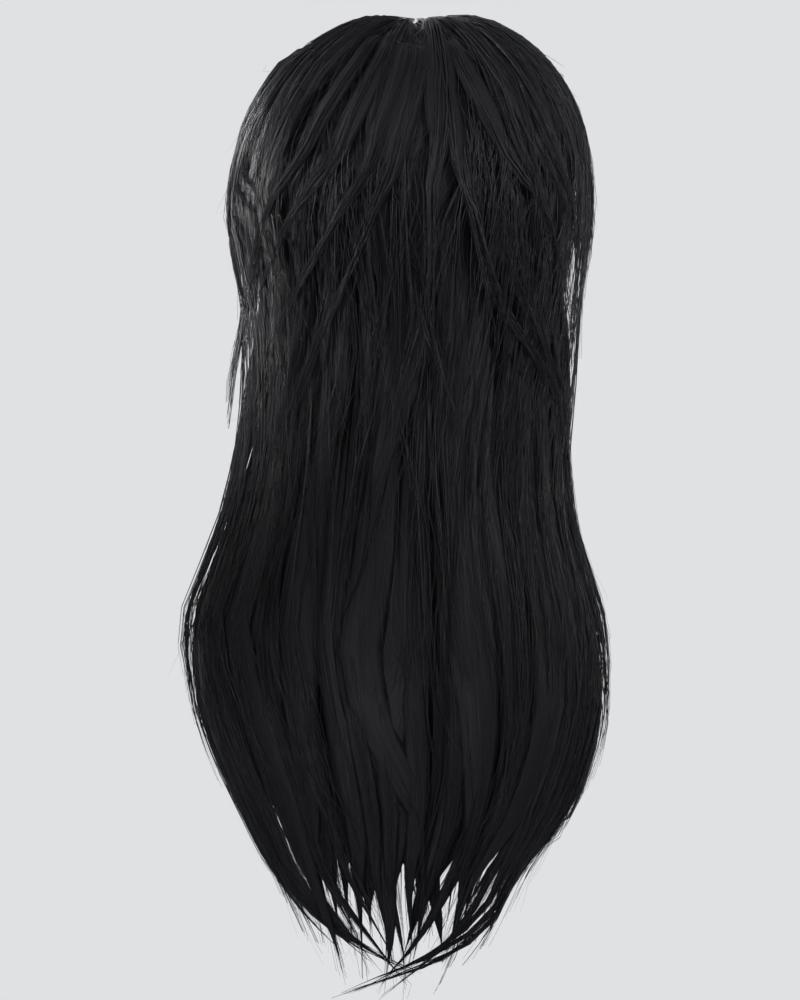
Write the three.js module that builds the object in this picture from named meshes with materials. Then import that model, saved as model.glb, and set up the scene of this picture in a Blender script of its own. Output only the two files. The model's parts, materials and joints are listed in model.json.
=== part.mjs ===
// Lace front wig: long layered hair on a net cap, in millimetres with +Z up.
// The face looks along -Y, the back of the head along +Y, and +X is the wearer's left.
// The origin is the crown of the head, where the inside of the cap rests on it.
import * as THREE from 'three';

const { clamp, lerp, smoothstep, degToRad } = THREE.MathUtils;

// Head that the cap fits
const headWidth = 156;
const headDepth = 195;
const crownHeight = 105;
const headRoundness = 2.3;

// Cap and lace
const capWall = 1.5;
const laceWall = 1.3;
const laceJoint = 0.8;
const hairlineTurn = 125;
const laceMargin = 9;
const laceReach = 34;
const earTab = 38;

// Hair: how far it stands off the cap, and how far it falls below the head's widest level
const sideVolume = 51;
const backVolume = 31;
const topVolume = 12;
const frontVolume = 13;
const volumeSag = 32;
const crownLean = -7;
const hairDrop = 562;
const rootClearance = 0.7;
const layerClearance = 1.8;
const lockClearance = 0.9;
const thinnestHair = 1.3;
const tipFlick = 1.5;

// Parting: from behind the crown to the hairline, as shares of half the head's depth
const partingBack = 0.28;
const partingFront = -0.86;
const partingGap = 4;
const crownTurn = 0.55;

// How the hair hangs below the widest level. Down is a share of hairDrop; shift and side are
// shares of half the head's width, back of half its depth, the two stacks of their volumes,
// and reach is a share of hairlineTurn.
const fallTable = {
  columns: ['shift', 'side', 'sideStack', 'back', 'backStack', 'reach'],
  down: [0, 0.106, 0.185, 0.29, 0.369, 0.449, 0.528, 0.607, 0.686, 0.766, 0.845, 0.924, 1],
  rows: [
    [0.00, 1.00, 1.00, 1.00, 1.00, 1.00],
    [0.00, 0.94, 0.96, 0.85, 1.31, 0.95],
    [0.01, 0.90, 1.04, 0.73, 1.51, 0.87],
    [0.08, 1.05, 0.80, 0.76, 1.22, 0.79],
    [0.12, 1.24, 0.60, 0.82, 1.04, 0.75],
    [0.14, 1.49, 0.52, 0.88, 0.94, 0.72],
    [0.16, 1.68, 0.50, 0.93, 0.91, 0.70],
    [0.11, 1.68, 0.48, 0.96, 0.90, 0.69],
    [0.07, 1.61, 0.46, 0.99, 0.85, 0.68],
    [0.05, 1.46, 0.42, 0.99, 0.77, 0.67],
    [0.10, 1.18, 0.37, 0.98, 0.67, 0.66],
    [0.10, 0.84, 0.32, 0.95, 0.57, 0.66],
    [0.17, 0.40, 0.26, 0.89, 0.49, 0.66],
  ],
};

// Lower edge of the cap by angle from the back, as the share of hairDrop below the widest
// level: the nape, behind the ear, over the ear
const capEdge = {
  angle: [0, 25, 48, 66, 80, 92, 110],
  down: [0.148, 0.146, 0.122, 0.082, 0.026, 0.01, 0],
};

// How full the hair is at the parting and at the face, as shares of its full volume
const partingFullness = 0.5;
const faceFullness = 0.55;

// How full a lock is at its middle, between two locks, and at the edge of its layer
const lockFullness = { ridge: 1, valley: 0.75, edge: 0.6 };

// A layer swells below its root, and gives way past its tips and its front edges, over these
// shares of a fall and of a turn
const rootSwell = 0.14;
const rootBand = 0.08;
const tipRoom = 0.06;
const tipFade = 0.14;
const edgeRoom = 0.07;
const edgeFade = 0.11;

// Layers of hair from the nape outwards. Root, tip, notch, ragged, sideLift and taper are
// falls: 0 at the crown, 1 at the widest level, 2 at the lowest tip. Half is how many half
// locks lie on each side of the back.
const halfLock = 1 / 16;
const layers = [
  { name: 'weft_nape', root: 1.07, tip: 1.96, half: 10, weight: 1.0,
    notch: 0.15, ragged: 0.10, sideLift: 0.20, taper: 0.3, sway: 0.012 },
  { name: 'weft_low', root: 0.90, tip: 2.0, half: 12, weight: 1.0,
    notch: 0.13, ragged: 0.09, sideLift: 0.12, taper: 0.3, sway: -0.014 },
  { name: 'weft_back', root: 0.72, tip: 1.95, half: 15, weight: 1.1,
    notch: 0.12, ragged: 0.09, sideLift: 0.05, taper: 0.3, sway: 0.016 },
  { name: 'weft_middle', root: 0.50, tip: 1.58, half: 14, weight: 0.9,
    notch: 0.09, ragged: 0.12, sideLift: 0.10, taper: 0.2, sway: -0.012 },
  { name: 'weft_upper', root: 0.27, tip: 1.27, half: 15, weight: 1.0,
    notch: 0.06, ragged: 0.06, sideLift: 0.02, taper: 0.12, sway: 0.014 },
  { name: 'top_hair', root: 0, tip: 1.13, half: 16, weight: 1.1, sideLift: 0, sway: 0.01 },
];

// The outermost layer is parted into the crown, the sides and the locks at the face. From and
// to count half locks from the back towards the wearer's left.
const topPieces = [
  { name: 'crown_hair', from: -8, to: 8, tip: 1.08, taper: 0.12, notch: 0.10, ragged: 0.11 },
  { name: 'side_hair_left', from: 8, to: 14, tip: 1.13, taper: 0.12, notch: 0.07, ragged: 0.05 },
  { name: 'side_hair_right', from: -14, to: -8, tip: 1.11, taper: 0.12, notch: 0.07, ragged: 0.05 },
  { name: 'front_hair_left', from: 14, to: 16, tip: 1.13, taper: 0.12, notch: 0.06, ragged: 0.04 },
  { name: 'front_hair_right', from: -16, to: -14, tip: 1.12, taper: 0.12, notch: 0.06, ragged: 0.04 },
];

// Falls at which every layer has a row of points, so that nested layers bend together
const domeRows = 8;
const hangingRows = 12;
const leastRow = 0.03;

const halfWidth = headWidth / 2;
const halfDepth = headDepth / 2;
const hairBase = capWall + rootClearance;
const goldenShare = 0.618034;

const fallRows = new THREE.CubicInterpolant(fallTable.down, fallTable.rows.flat(), fallTable.columns.length);
const capEdgeDown = new THREE.CubicInterpolant(capEdge.angle, capEdge.down, 1);

// Values of the fall table at one share of the drop
function fallAt(down) {
  const values = fallRows.evaluate(clamp(down, 0, 1));
  return Object.fromEntries(fallTable.columns.map((name, index) => [name, values[index]]));
}

// A share between 0 and 1 that differs from one lock to the next
function spread(index) {
  return (index * goldenShare) % 1;
}

// Signed power, for the superellipse that the head's sections follow
function roundPower(value) {
  return Math.sign(value) * Math.abs(value) ** (2 / headRoundness);
}

function rimPoint(degrees) {
  const angle = degToRad(degrees);
  return { x: roundPower(Math.sin(angle)), y: roundPower(Math.cos(angle)) };
}

// Height of the dome over a point of its plan, 1 at the crown and 0 at the rim
function domeHeight(x, y) {
  const reach = Math.abs(x) ** headRoundness + Math.abs(y) ** headRoundness;
  return Math.max(0, 1 - reach) ** (1 / headRoundness);
}

// Where the hair of one turn leaves the parting, as shares of the head's half sizes
function rootPoint(turn) {
  const gap = partingGap / halfWidth;
  const side = Math.abs(turn);
  if (side <= crownTurn) {
    const angle = (turn / crownTurn) * (Math.PI / 2);
    return { x: gap * Math.sin(angle), y: partingBack + gap * Math.cos(angle) };
  }
  const along = (side - crownTurn) / (1 - crownTurn);
  return { x: Math.sign(turn) * gap, y: lerp(partingBack, partingFront, along) };
}

// Over the dome a lock leaves the parting squarely and turns down to its place on the rim
function domePlan(turn, fall) {
  const root = rootPoint(turn);
  const rim = rimPoint(turn * hairlineTurn);
  const bend = {
    x: lerp(root.x, rim.x, 0.5),
    y: lerp(root.y, rim.y, 0.5 * (1 - Math.min(1, Math.abs(turn)))),
  };
  const out = Math.sin(Math.min(fall, 1) * (Math.PI / 2));
  const back = 1 - out;
  return {
    x: back * back * root.x + 2 * back * out * bend.x + out * out * rim.x,
    y: back * back * root.y + 2 * back * out * bend.y + out * out * rim.y,
  };
}

// Shape of the hair at one turn and fall: its plan, its height and its row of the fall table
function flowShape(turn, fall) {
  const down = Math.max(0, fall - 1);
  const row = fallAt(down);
  if (fall <= 1) {
    const plan = domePlan(turn, fall);
    return { ...plan, up: domeHeight(plan.x, plan.y), down, row, angle: turn * hairlineTurn };
  }
  const angle = turn * hairlineTurn * row.reach;
  return { ...rimPoint(angle), up: 0, down, row, angle };
}

// A point on the head's surface, grown outwards by a wall
function headPoint(shape, grow) {
  const { x, y, up, down, row } = shape;
  return new THREE.Vector3(
    x * (halfWidth + grow) * row.side + row.shift * halfWidth,
    y * (halfDepth + grow) * (y > 0 ? row.back : 1),
    up * (crownHeight + grow) - crownHeight - down * hairDrop,
  );
}

// How full the hair is: flat at the parting, full at the sides, thin at the face
function fullness(shape, fall) {
  const crown = lerp(partingFullness, 1, smoothstep(fall, 0, 0.22));
  const face = lerp(1, faceFullness, smoothstep(Math.abs(shape.angle), 92, hairlineTurn));
  return crown * face;
}

// A point in the hair, depth 0 on the cap and 1 on the outside
function hairPoint(shape, fall, depth) {
  const point = headPoint(shape, hairBase);
  const thickness = depth * fullness(shape, fall);
  const { x, y, up, down, row } = shape;
  point.x += (x * sideVolume * row.sideStack + crownLean * up) * thickness;
  point.y += y * (y > 0 ? backVolume * row.backStack : frontVolume) * thickness;
  point.z += (up * (topVolume + volumeSag) - volumeSag * (1 - down)) * thickness;
  return point;
}

// Share of the hair's thickness that a layer takes at one turn and fall
function layerWeight(layer, turn, fall) {
  const rise = layer.root === 0 ? 1 : smoothstep(fall, layer.root, layer.root + rootSwell);
  const fade = smoothstep(layer.tip + tipRoom - fall, 0, tipFade);
  const edge = layer.half * halfLock;
  const side = edge < 1 ? smoothstep(edge + edgeRoom - Math.abs(turn), 0, edgeFade) : 1;
  return layer.weight * rise * fade * side;
}

// Thickness of the whole head of hair at one turn and fall, square to its surface
function hairThickness(turn, fall, shape) {
  const step = 0.01;
  const middle = (nextTurn, nextFall) => hairPoint(flowShape(nextTurn, nextFall), nextFall, 0.5);
  const along = middle(turn, fall + step).sub(middle(turn, fall - step));
  const round = middle(turn + step, fall).sub(middle(turn - step, fall));
  const square = along.cross(round).normalize();
  return Math.abs(hairPoint(shape, fall, 1).sub(hairPoint(shape, fall, 0)).dot(square));
}

// Depths between which a layer lies, with its clearance to the layer outside it
function layerBand(index, turn, fall, shape) {
  const weights = layers.map((layer) => layerWeight(layer, turn, fall));
  const whole = weights.reduce((sum, weight) => sum + weight, 0);
  const under = weights.slice(0, index).reduce((sum, weight) => sum + weight, 0);
  const full = hairThickness(turn, fall, shape);
  const isOutermost = index === layers.length - 1;
  const clearance = isOutermost ? 0 : layerClearance / full;
  return { start: under / whole, end: (under + weights[index]) / whole - clearance, full };
}

// First fall below a layer's root at which it is thick enough to be made
function firstFall(index, turn) {
  const step = 0.004;
  let fall = layers[index].root + step;
  const isThin = () => {
    const band = layerBand(index, turn, fall, flowShape(turn, fall));
    return (band.end - band.start) * band.full < thinnestHair;
  };
  while (isThin() && fall < layers[index].root + rootBand) {
    fall += step;
  }
  return fall;
}

function meshGeometry(points, index) {
  const positions = points.flatMap((point) => point.toArray());
  const geometry = new THREE.BufferGeometry();
  geometry.setAttribute('position', new THREE.Float32BufferAttribute(positions, 3));
  geometry.setIndex(index);
  return geometry;
}

// Closed body between an outer and an inner grid of points, both [column][row]
function sheetGeometry(outer, inner) {
  const columns = outer.length;
  const rows = outer[0].length;
  const last = { column: columns - 1, row: rows - 1 };
  const outerAt = (column, row) => column * rows + row;
  const innerAt = (column, row) => columns * rows + column * rows + row;
  const index = [];
  const quad = (a, b, c, d) => index.push(a, b, c, a, c, d);
  const skin = (at, column, row) => [
    at(column, row), at(column + 1, row), at(column + 1, row + 1), at(column, row + 1),
  ];
  for (let column = 0; column < last.column; column += 1) {
    for (let row = 0; row < last.row; row += 1) {
      quad(...skin(outerAt, column, row));
      quad(...skin(innerAt, column, row).reverse());
    }
    quad(outerAt(column, 0), innerAt(column, 0), innerAt(column + 1, 0), outerAt(column + 1, 0));
    const [tip, nextTip] = [outerAt(column, last.row), outerAt(column + 1, last.row)];
    quad(tip, nextTip, innerAt(column + 1, last.row), innerAt(column, last.row));
  }
  for (let row = 0; row < last.row; row += 1) {
    quad(outerAt(0, row), outerAt(0, row + 1), innerAt(0, row + 1), innerAt(0, row));
    const [side, nextSide] = [outerAt(last.column, row), outerAt(last.column, row + 1)];
    quad(side, innerAt(last.column, row), innerAt(last.column, row + 1), nextSide);
  }
  return meshGeometry([...outer.flat(), ...inner.flat()], index);
}

// The rows' falls of one layer, the same in each layer between its root and its tip
function rowFalls(root, tip) {
  const dome = Array.from({ length: domeRows }, (_, row) => (row + 1) / domeRows);
  const hanging = Array.from({ length: hangingRows }, (_, row) => 1 + (row + 1) / hangingRows);
  const isInside = (fall) => fall > root + rootBand + leastRow / 3 && fall < tip - leastRow;
  return [root, ...[...dome, ...hanging].filter(isInside), tip];
}

// Turn that moves a lock's edge sideways by a length
function turnForLength(turn, fall, length) {
  const step = 0.005;
  const at = (nextTurn) => hairPoint(flowShape(nextTurn, fall), fall, 0);
  return (length * 2 * step) / at(turn + step).distanceTo(at(turn - step));
}

// A layer of locks fused side by side: full at the middle of each lock, thin between them,
// and cut into pointed tips. From and to count half locks.
function locksGeometry(layerIndex, piece) {
  const layer = layers[layerIndex];
  const outer = [];
  const inner = [];
  const falls = rowFalls(layer.root, piece.tip);
  for (let column = piece.from; column <= piece.to; column += 1) {
    const isRidge = (column + piece.to + layerIndex) % 2 !== 0;
    const isEdge = column === piece.from || column === piece.to;
    const inset = column === piece.from ? lockClearance / 2 : isEdge ? -lockClearance / 2 : 0;
    const turn = column * halfLock;
    const across = Math.abs(column) / layer.half;
    const lift = piece.ragged * spread(column - piece.from) + (isRidge ? 0 : piece.notch);
    const short = lift + layer.sideLift * across * across;
    const root = firstFall(layerIndex, turn);
    const outerColumn = [];
    const innerColumn = [];
    falls.forEach((level, row) => {
      const along = (level - layer.root) / (piece.tip - layer.root);
      const fall = Math.max(root, level - short * along ** 5);
      const swing = layer.sway * Math.sin(fall * Math.PI * 3) * smoothstep(fall, 0.6, 1.2);
      const placed = turn + swing + turnForLength(turn, fall, inset);
      const shape = flowShape(placed, fall);
      const band = layerBand(layerIndex, placed, fall, shape);
      const lifted = row === 0 ? 0 : (layerClearance - rootClearance) / band.full;
      const taper = smoothstep(piece.tip - short - fall, 0, piece.taper);
      const flicked = band.start + (tipFlick * (1 - taper)) / band.full;
      const start = Math.max(Math.min(flicked, band.end - thinnestHair / band.full), band.start, lifted);
      const body = isEdge ? lockFullness.edge : isRidge ? lockFullness.ridge : lockFullness.valley;
      const thickness = Math.max((band.end - start) * band.full * body * taper, thinnestHair);
      outerColumn.push(hairPoint(shape, fall, start + thickness / band.full));
      innerColumn.push(hairPoint(shape, fall, start));
    });
    outer.push(outerColumn);
    inner.push(innerColumn);
  }
  return sheetGeometry(outer, inner);
}

// Plan of the cap's join to the lace, and of the lace's two edges
const turnPerDepth = (1 - crownTurn) / (halfDepth * (partingBack - partingFront));
const joinTurn = 1 - laceReach * turnPerDepth;
const laceFalls = [0, 0.16, 0.32, 0.47, 0.61, 0.74, 0.87, 1];
const capDomeShare = 0.78;

// Net cap: columns from the crown to its edge, which is low at the nape, high over the ears and
// cut back to the lace at the front
function capGeometry() {
  const rings = 8;
  const backColumns = 11;
  const joinAngle = joinTurn * hairlineTurn;
  const halfColumns = [];
  for (let column = 0; column < backColumns; column += 1) {
    const angle = (joinAngle * column) / backColumns;
    halfColumns.push({ rim: rimPoint(angle), reach: 1, down: capEdgeDown.evaluate(angle)[0] });
  }
  [...laceFalls].reverse().forEach((fall) => {
    const edge = domePlan(joinTurn, fall);
    const x = fall === 0 ? 0 : edge.x;
    const spanned = Math.abs(x) ** headRoundness + Math.abs(edge.y) ** headRoundness;
    const reach = spanned ** (1 / headRoundness);
    halfColumns.push({ rim: { x: x / reach, y: edge.y / reach }, reach, down: 0 });
  });
  const mirrored = halfColumns.slice(1, -1).reverse();
  const mirror = (entry) => ({ ...entry, rim: { x: -entry.rim.x, y: entry.rim.y } });
  const columns = [...halfColumns, ...mirrored.map(mirror)];
  return shellGeometry(columns, rings, capWall);
}

// A point of the cap's column: over the dome first, then down below the rim
function capPoint(column, share, grow) {
  const { rim, reach, down } = column;
  const domeShare = down > 0 ? capDomeShare : 1;
  const out = reach * Math.sin(Math.min(1, share / domeShare) * Math.asin(1));
  const below = share > domeShare ? (down * (share - domeShare)) / (1 - domeShare) : 0;
  const plan = { x: rim.x * out, y: rim.y * out };
  return headPoint({ ...plan, up: domeHeight(plan.x, plan.y), down: below, row: fallAt(below) }, grow);
}

// Closed dome-shaped shell from columns that start at one crown point and end at its edge
function shellGeometry(columns, rings, wall) {
  const count = columns.length;
  const skin = (grow) => columns.flatMap((column) => (
    Array.from({ length: rings }, (_, ring) => capPoint(column, (ring + 1) / rings, grow))
  ));
  const crown = (grow) => new THREE.Vector3(0, 0, grow);
  const points = [crown(wall), ...skin(wall), crown(0), ...skin(0)];
  const innerCrown = 1 + count * rings;
  const outerAt = (column, ring) => 1 + (column % count) * rings + ring;
  const innerAt = (column, ring) => innerCrown + outerAt(column, ring);
  const index = [];
  for (let column = 0; column < count; column += 1) {
    index.push(0, outerAt(column + 1, 0), outerAt(column, 0));
    index.push(innerCrown, innerAt(column, 0), innerAt(column + 1, 0));
    for (let ring = 0; ring < rings - 1; ring += 1) {
      const [a, b] = [outerAt(column, ring), outerAt(column + 1, ring)];
      const [c, d] = [outerAt(column + 1, ring + 1), outerAt(column, ring + 1)];
      index.push(a, b, c, a, c, d);
      const [e, f] = [innerAt(column, ring), innerAt(column + 1, ring)];
      const [g, h] = [innerAt(column + 1, ring + 1), innerAt(column, ring + 1)];
      index.push(e, g, f, e, h, g);
    }
    const last = rings - 1;
    const [a, b] = [outerAt(column, last), outerAt(column + 1, last)];
    const [c, d] = [innerAt(column + 1, last), innerAt(column, last)];
    index.push(a, b, c, a, c, d);
  }
  return meshGeometry(points, index);
}

// Lace from ear tab to ear tab: between its join to the cap and a bare margin past the hairline
function laceGeometry() {
  const across = 4;
  const tabRows = 3;
  const marginTurn = turnForLength(1, 0.02, laceMargin);
  const jointTurn = laceJoint * turnPerDepth;
  const tabDown = earTab / hairDrop;
  const tabFalls = Array.from({ length: tabRows }, (_, row) => 1 + (tabDown * (row + 1)) / tabRows);
  const strip = (side) => [...laceFalls, ...tabFalls].map((fall) => {
    const narrowing = fall > 1 ? 0.3 * ((fall - 1) / tabDown) ** 2 : 0;
    const middle = (joinTurn + 1 + marginTurn) / 2;
    return Array.from({ length: across + 1 }, (_, step) => {
      const wide = lerp(joinTurn + jointTurn, 1 + marginTurn, step / across);
      const turn = lerp(wide, middle, narrowing);
      const shape = flowShape(side * turn, fall);
      return fall === 0 ? { ...shape, x: 0, up: domeHeight(0, shape.y) } : shape;
    });
  });
  const shapes = [...strip(-1).slice(1).reverse(), ...strip(1)];
  const skin = (grow) => shapes.map((column) => column.map((shape) => headPoint(shape, grow)));
  return sheetGeometry(skin(0), skin(laceWall));
}

const hairMaterial = new THREE.MeshStandardMaterial({ color: 0x1a1a1d, roughness: 0.42, metalness: 0 });
const capMaterial = new THREE.MeshStandardMaterial({ color: 0x141416, roughness: 0.85, metalness: 0 });
const laceMaterial = new THREE.MeshStandardMaterial({ color: 0xb59a80, roughness: 0.8, metalness: 0 });

const wig = new THREE.Group();
function addPiece(name, geometry, material) {
  const mesh = new THREE.Mesh(geometry, material.clone());
  mesh.name = name;
  wig.add(mesh);
}

addPiece('cap', capGeometry(), capMaterial);
addPiece('lace_front', laceGeometry(), laceMaterial);
const topLayer = layers.length - 1;
layers.slice(0, topLayer).forEach((layer, layerIndex) => {
  const piece = { ...layer, from: -layer.half, to: layer.half };
  addPiece(layer.name, locksGeometry(layerIndex, piece), hairMaterial);
});
topPieces.forEach((piece) => addPiece(piece.name, locksGeometry(topLayer, piece), hairMaterial));

export default wig;
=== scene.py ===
# %% [markdown]
# # A lace front wig in Blender
# The real object is a net cap with rows of hair sewn onto it and a strip of fine lace at the
# face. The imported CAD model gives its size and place, as a frame. This script keeps to that
# frame and grows the hair as locks, narrow tresses and single strands, in metres.

import json
import math

import bpy
import numpy as np
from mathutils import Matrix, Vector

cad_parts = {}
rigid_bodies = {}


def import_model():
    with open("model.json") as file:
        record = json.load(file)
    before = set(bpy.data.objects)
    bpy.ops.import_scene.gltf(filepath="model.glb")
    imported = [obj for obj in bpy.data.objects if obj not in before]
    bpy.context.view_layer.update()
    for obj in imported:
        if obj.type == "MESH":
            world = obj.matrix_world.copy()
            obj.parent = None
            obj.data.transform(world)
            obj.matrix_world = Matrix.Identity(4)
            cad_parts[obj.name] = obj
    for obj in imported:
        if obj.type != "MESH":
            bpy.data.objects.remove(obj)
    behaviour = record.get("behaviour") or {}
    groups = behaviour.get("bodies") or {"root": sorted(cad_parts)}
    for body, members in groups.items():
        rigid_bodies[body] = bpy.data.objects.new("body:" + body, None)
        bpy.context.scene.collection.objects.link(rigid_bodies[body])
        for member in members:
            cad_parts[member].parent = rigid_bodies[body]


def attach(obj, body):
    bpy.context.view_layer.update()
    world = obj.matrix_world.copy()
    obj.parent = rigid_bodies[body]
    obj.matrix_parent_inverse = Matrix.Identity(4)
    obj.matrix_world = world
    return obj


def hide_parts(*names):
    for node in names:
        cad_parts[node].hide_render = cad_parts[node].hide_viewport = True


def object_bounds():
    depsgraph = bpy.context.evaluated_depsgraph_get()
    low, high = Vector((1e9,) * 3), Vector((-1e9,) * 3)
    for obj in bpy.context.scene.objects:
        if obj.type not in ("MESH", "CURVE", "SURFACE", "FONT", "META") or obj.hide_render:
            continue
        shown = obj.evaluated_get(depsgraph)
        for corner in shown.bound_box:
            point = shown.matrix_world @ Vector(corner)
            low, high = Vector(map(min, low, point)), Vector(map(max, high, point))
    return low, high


for thing in list(bpy.data.objects):
    bpy.data.objects.remove(thing)
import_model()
cad_low, cad_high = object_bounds()
print("CAD size in millimetres:", [round(1000 * side) for side in cad_high - cad_low])

# %% [markdown]
# ## The flow of the hair
# Hair leaves the parting, runs over the dome of the head and hangs down. Every point in it
# has three numbers: the turn (0 at the back, -1 and 1 at the two sides of the face), the fall
# (0 at the parting, 1 at the widest level, 2 at the lowest tip) and the depth (0 on the cap,
# 1 on the outside). Locks could be drawn one by one as curves, but then neighbours cross. In
# these three numbers a lock is nearly a straight line, and the head gives it its bend.

# %% Sizes of the head and the hair
HEAD_WIDTH, HEAD_DEPTH, CROWN_HEIGHT, ROUNDNESS = 0.156, 0.195, 0.105, 2.3
HAIRLINE_TURN = 125
CAP_WALL, ROOT_CLEARANCE = 0.0015, 0.0007
SIDE_VOLUME, BACK_VOLUME, TOP_VOLUME, FRONT_VOLUME = 0.051, 0.031, 0.012, 0.013
VOLUME_SAG, CROWN_LEAN, HAIR_DROP = 0.032, -0.007, 0.562
PARTING_BACK, PARTING_FRONT, PARTING_GAP, CROWN_TURN = 0.28, -0.86, 0.0015, 0.55
PARTING_FULLNESS, FACE_FULLNESS = 0.5, 0.55
HALF_WIDTH, HALF_DEPTH = HEAD_WIDTH / 2, HEAD_DEPTH / 2
HAIR_BASE = CAP_WALL + ROOT_CLEARANCE

# Down is a share of the drop. Shift and side are shares of half the head's width, back of half
# its depth, the stacks of the two volumes, and reach of the hairline's turn. The sides are
# drawn in a little against the solids, because strands stand proud of their locks.
DOWN = [0, 0.106, 0.185, 0.29, 0.369, 0.449, 0.528, 0.607, 0.686, 0.766, 0.845, 0.924, 1]
FALL_TABLE = {
    "shift": [0, 0, 0.01, 0.08, 0.12, 0.14, 0.16, 0.11, 0.07, 0.05, 0.10, 0.10, 0.17],
    "side": [1, 0.93, 0.87, 1.00, 1.17, 1.40, 1.59, 1.58, 1.49, 1.31, 1.03, 0.76, 0.42],
    "side_stack": [1, 0.96, 1.04, 0.80, 0.60, 0.52, 0.50, 0.48, 0.46, 0.42, 0.37, 0.32, 0.26],
    "back": [1, 0.85, 0.73, 0.76, 0.82, 0.88, 0.93, 0.96, 0.99, 0.99, 0.98, 0.95, 0.89],
    "back_stack": [1, 1.31, 1.51, 1.22, 1.04, 0.94, 0.91, 0.90, 0.85, 0.77, 0.67, 0.57, 0.49],
    "reach": [1, 0.95, 0.87, 0.79, 0.75, 0.72, 0.70, 0.69, 0.68, 0.67, 0.66, 0.66, 0.66],
}


def smooth(low, high, value):
    share = np.clip((value - low) / (high - low), 0, 1)
    return share * share * (3 - 2 * share)


def mix(low, high, share):
    return low + (high - low) * share


def through_points(places, values, place):
    """Values on a smooth curve through a table's points."""
    places, values = np.array(places, float), np.array(values, float)
    place = np.clip(place, places[0], places[-1])
    left = np.clip(np.searchsorted(places, place) - 1, 0, len(places) - 2)
    width = places[left + 1] - places[left]
    t = (place - places[left]) / width
    slope = np.gradient(values, places)
    ends = values[left] * (1 + 2 * t) * (1 - t) ** 2 + values[left + 1] * t * t * (3 - 2 * t)
    return ends + width * (slope[left] * t * (1 - t) ** 2 - slope[left + 1] * t * t * (1 - t))


def fall_row(down):
    """Each column of the fall table at shares of the drop."""
    return {name: through_points(DOWN, column, down) for name, column in FALL_TABLE.items()}


print("Side reach halfway down:", round(float(fall_row(np.array(0.5))["side"]), 2))


# %% Points of the flow
def round_power(value):
    return np.sign(value) * np.abs(value) ** (2 / ROUNDNESS)


def rim_point(degrees):
    angle = np.radians(degrees)
    return round_power(np.sin(angle)), round_power(np.cos(angle))


def dome_height(x, y):
    reach = np.abs(x) ** ROUNDNESS + np.abs(y) ** ROUNDNESS
    return np.maximum(0, 1 - reach) ** (1 / ROUNDNESS)


def dome_plan(turn, fall):
    """Over the dome a lock leaves the parting squarely and turns down to its place on the rim."""
    gap = PARTING_GAP / HALF_WIDTH
    angle = np.clip(turn / CROWN_TURN, -1, 1) * (math.pi / 2)
    along = np.clip((np.abs(turn) - CROWN_TURN) / (1 - CROWN_TURN), 0, None)
    root_x = gap * np.sin(angle)
    parting = mix(PARTING_BACK, PARTING_FRONT, along)
    root_y = np.where(along > 0, parting, PARTING_BACK + gap * np.cos(angle))
    rim_x, rim_y = rim_point(turn * HAIRLINE_TURN)
    bend_x = mix(root_x, rim_x, 0.5)
    bend_y = mix(root_y, rim_y, 0.5 * (1 - np.minimum(1, np.abs(turn))))
    out = np.sin(np.clip(fall, 0, 1) * (math.pi / 2))
    weights = (1 - out) ** 2, 2 * (1 - out) * out, out**2
    x = weights[0] * root_x + weights[1] * bend_x + weights[2] * rim_x
    y = weights[0] * root_y + weights[1] * bend_y + weights[2] * rim_y
    return x, y


def flow_shape(turn, fall):
    down = np.maximum(0, fall - 1)
    row = fall_row(down)
    angle = turn * HAIRLINE_TURN * row["reach"]
    plan_x, plan_y = dome_plan(turn, fall)
    rim_x, rim_y = rim_point(angle)
    on_dome = fall <= 1
    x, y = np.where(on_dome, plan_x, rim_x), np.where(on_dome, plan_y, rim_y)
    up = np.where(on_dome, dome_height(plan_x, plan_y), 0)
    return x, y, up, down, row, angle


def head_point(x, y, up, down, row, grow):
    return np.stack(
        [
            x * (HALF_WIDTH + grow) * row["side"] + row["shift"] * HALF_WIDTH,
            y * (HALF_DEPTH + grow) * np.where(y > 0, row["back"], 1),
            up * (CROWN_HEIGHT + grow) - CROWN_HEIGHT - down * HAIR_DROP,
        ],
        -1,
    )


def hair_point(turn, fall, depth):
    """A point in the hair: turn, fall and depth to metres."""
    x, y, up, down, row, angle = flow_shape(turn, fall)
    point = head_point(x, y, up, down, row, HAIR_BASE)
    full = mix(PARTING_FULLNESS, 1, smooth(0, 0.22, fall))
    full = full * mix(1, FACE_FULLNESS, smooth(92, HAIRLINE_TURN, np.abs(angle)))
    thick = depth * full
    stack = np.where(y > 0, BACK_VOLUME * row["back_stack"], FRONT_VOLUME)
    point[..., 0] += (x * SIDE_VOLUME * row["side_stack"] + CROWN_LEAN * up) * thick
    point[..., 1] += y * stack * thick
    point[..., 2] += (up * (TOP_VOLUME + VOLUME_SAG) - VOLUME_SAG * (1 - down)) * thick
    return point


def unit(vectors):
    return vectors / np.maximum(np.linalg.norm(vectors, axis=-1, keepdims=True), 1e-9)


print("Crown of the hair:", hair_point(0.0, 0.2, 1.0).round(3))

# %% [markdown]
# ## Layers from the nape outwards
# A wig is built from below: the lowest row is sewn first and each row above covers its roots.
# Each layer therefore takes a share of the thickness where it lies, and gives way past its
# tips. The table is the one that the CAD model follows, so that each visual layer stays where
# its solid is.

# %% Layer table
LAYER_NAMES = ["weft_nape", "weft_low", "weft_back", "weft_middle", "weft_upper", "top_hair"]
LAYERS = {
    "root": [1.07, 0.90, 0.72, 0.50, 0.27, 0],
    "tip": [1.96, 2.0, 1.95, 1.58, 1.27, 1.13],
    "half": [10 / 16, 12 / 16, 15 / 16, 14 / 16, 15 / 16, 1],
    "weight": [1.0, 1.0, 1.1, 0.9, 1.0, 1.1],
}
ROOT_SWELL, TIP_ROOM, TIP_FADE, EDGE_ROOM, EDGE_FADE = 0.14, 0.06, 0.14, 0.07, 0.11


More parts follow.
